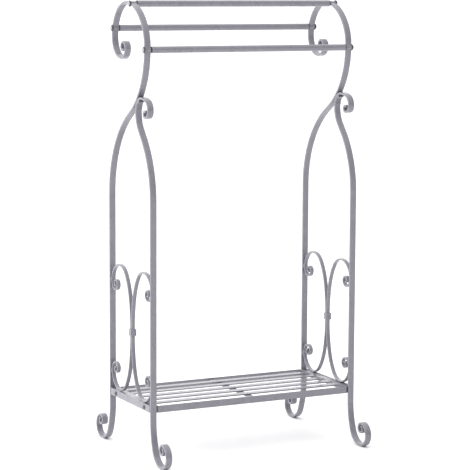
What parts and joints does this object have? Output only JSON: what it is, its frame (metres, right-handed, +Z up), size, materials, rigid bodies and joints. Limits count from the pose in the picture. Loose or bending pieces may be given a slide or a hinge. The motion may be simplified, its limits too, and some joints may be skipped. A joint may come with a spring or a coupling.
{
  "type": "valet stand",
  "caption": "Free-standing rail stand of bent flat steel bar: scrolled side frames with feet and hooks, round rails across the top and a low slatted shelf.",
  "frame": {"origin": "centre of the bounding box, at the floor", "axes": "+X along the rails to the right seen from the front, -Y the front, +Z up"},
  "size_m": [0.4666, 0.3502, 0.9013],
  "materials": {
    "frame_paint": "satin grey paint",
    "fastener": "darker grey paint"
  },
  "bodies": {
    "root": {"front_rail": "frame_paint", "left_front_rail_plug": "fastener", "left_front_bolt": "fastener", "right_front_rail_plug": "fastener", "right_front_bolt": "fastener", "top_rail": "frame_paint", "left_top_rail_plug": "fastener", "left_top_bolt": "fastener", "right_top_rail_plug": "fastener", "right_top_bolt": "fastener", "rear_rail": "frame_paint", "left_rear_rail_plug": "fastener", "left_rear_bolt": "fastener", "right_rear_rail_plug": "fastener", "right_rear_bolt": "fastener", "left_main_bar": "frame_paint", "left_front_bar": "frame_paint", "left_rear_c_scroll": "frame_paint", "left_front_c_scroll": "frame_paint", "left_collar": "frame_paint", "left_stretcher": "frame_paint", "left_shelf_end_rail": "frame_paint", "left_front_shelf_screw": "fastener", "left_front_shelf_nut": "fastener", "left_rear_shelf_screw": "fastener", "left_rear_shelf_nut": "fastener", "right_main_bar": "frame_paint", "right_front_bar": "frame_paint", "right_rear_c_scroll": "frame_paint", "right_front_c_scroll": "frame_paint", "right_collar": "frame_paint", "right_stretcher": "frame_paint", "right_shelf_end_rail": "frame_paint", "right_front_shelf_screw": "fastener", "right_front_shelf_nut": "fastener", "right_rear_shelf_screw": "fastener", "right_rear_shelf_nut": "fastener", "shelf_front_rail": "frame_paint", "shelf_rear_rail": "frame_paint", "slat_1": "frame_paint", "slat_2": "frame_paint", "slat_3": "frame_paint", "slat_4": "frame_paint", "slat_5": "frame_paint", "slat_crossbar": "frame_paint"}
  },
  "joints": []
}
